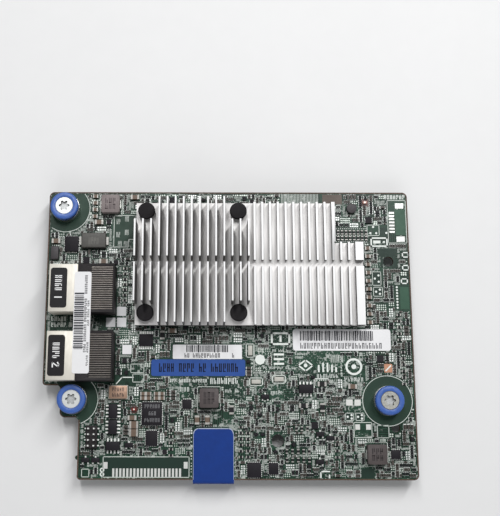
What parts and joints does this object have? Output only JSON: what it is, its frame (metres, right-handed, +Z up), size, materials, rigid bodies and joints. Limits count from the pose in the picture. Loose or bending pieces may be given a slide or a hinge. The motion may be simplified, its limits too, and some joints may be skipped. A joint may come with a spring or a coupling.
{
  "type": "raid controller card",
  "caption": "Flat server storage controller card with a finned heat sink, edge cable ports, captive mounting screws, a board connector underneath and a pull tab.",
  "frame": {"origin": "centre of the base rectangle, on the plane of the standoffs' feet and the board connector's rim", "axes": "+X along the card's long side, away from the cable ports; +Y away from the pull tab; +Z up, out of the component side"},
  "size_m": [0.1354, 0.1074, 0.0216],
  "materials": {
    "laminate": "green solder mask over glass-fibre laminate, with white print",
    "sink_aluminium": "extruded and milled, bare",
    "chip_plastic": "moulded package, faint laser marks",
    "pad_rubber": "soft thermal pad",
    "black_nylon": "fine moulded texture",
    "spring_steel": "drawn wire",
    "plated_steel": "turned, nickel plated",
    "blue_plastic": "moulded in colour",
    "tinned_steel": "stamped sheet, tin plated, warm tint",
    "connector_plastic": "glass-filled moulding",
    "contact_metal": "stamped, plated contacts",
    "solder_tin": "reflowed solder",
    "white_label": "coated paper with printed bars",
    "black_label": "printed film",
    "blue_label": "printed film",
    "blue_film": "coated film",
    "ferrite": "pressed powder, brown grey",
    "grey_moulding": "moulded package",
    "copper_lid": "copper-toned plated lid",
    "tan_ceramic": "fired ceramic",
    "white_ceramic": "fired ceramic",
    "amber_lens": "clear tinted resin"
  },
  "bodies": {
    "card": {"circuit_board": "laminate", "heat_sink": "sink_aluminium", "controller_chip": "chip_plastic", "thermal_pads": "pad_rubber", "memory_chips": "chip_plastic", "push_pins": "black_nylon", "push_pin_springs": "spring_steel", "standoffs": "plated_steel", "screw_sleeves": "plated_steel", "port_markers": "black_label", "mezzanine_connector": "connector_plastic", "mezzanine_contacts": "contact_metal", "push_here_label": "blue_label", "serial_label": "white_label", "long_label": "white_label", "part_label": "white_label", "pull_tab": "blue_film", "power_inductors": "ferrite", "inductor_terminals": "solder_tin", "power_diode": "grey_moulding", "power_diode_leads": "solder_tin", "oscillator_base": "white_ceramic", "oscillator_lid": "copper_lid", "leaded_chips": "chip_plastic", "chip_leads": "solder_tin", "flat_chips": "chip_plastic", "transistors": "chip_plastic", "small_inductors": "ferrite", "pin_header": "connector_plastic", "pin_header_pins": "contact_metal", "status_leds": "amber_lens", "ceramic_filters": "white_ceramic", "white_markers": "white_label", "ceramic_capacitors": "tan_ceramic", "capacitor_ends": "solder_tin", "chip_resistors": "chip_plastic", "resistor_ends": "solder_tin", "bare_pads": "solder_tin", "underside_chips": "chip_plastic", "underside_capacitors": "tan_ceramic", "screw_spring_1": "spring_steel", "screw_spring_2": "spring_steel", "screw_spring_3": "spring_steel", "port_1_shell": "tinned_steel", "port_1_housing": "connector_plastic", "port_1_contacts": "contact_metal", "port_2_shell": "tinned_steel", "port_2_housing": "connector_plastic", "port_2_contacts": "contact_metal"},
    "clip_1": {"retaining_clip_1": "spring_steel"},
    "clip_2": {"retaining_clip_2": "spring_steel"},
    "clip_3": {"retaining_clip_3": "spring_steel"},
    "screw_1": {"captive_screw_1": "plated_steel", "knob_ring_1": "blue_plastic"},
    "screw_2": {"captive_screw_2": "plated_steel", "knob_ring_2": "blue_plastic"},
    "screw_3": {"captive_screw_3": "plated_steel", "knob_ring_3": "blue_plastic"}
  },
  "joints": [
    {"name": "screw_1_press", "type": "slide", "parent": "card", "child": "clip_1", "axis": [0, 0, 1], "range_m": [-0.001, 0], "stiffness_N_per_m": 300, "springref_m": 0.002, "deforming": ["screw_spring_1"]},
    {"name": "screw_1_turn", "type": "hinge", "parent": "clip_1", "child": "screw_1", "pos_m": [-0.06135, 0.0472, 0.0047], "axis": [0, 0, 1], "continuous": true},
    {"name": "screw_2_press", "type": "slide", "parent": "card", "child": "clip_2", "axis": [0, 0, 1], "range_m": [-0.001, 0], "stiffness_N_per_m": 300, "springref_m": 0.002, "deforming": ["screw_spring_2"]},
    {"name": "screw_2_turn", "type": "hinge", "parent": "clip_2", "child": "screw_2", "pos_m": [-0.05645, -0.0241, 0.0047], "axis": [0, 0, 1], "continuous": true},
    {"name": "screw_3_press", "type": "slide", "parent": "card", "child": "clip_3", "axis": [0, 0, 1], "range_m": [-0.001, 0], "stiffness_N_per_m": 300, "springref_m": 0.002, "deforming": ["screw_spring_3"]},
    {"name": "screw_3_turn", "type": "hinge", "parent": "clip_3", "child": "screw_3", "pos_m": [0.05745, -0.0244, 0.0047], "axis": [0, 0, 1], "continuous": true}
  ]
}
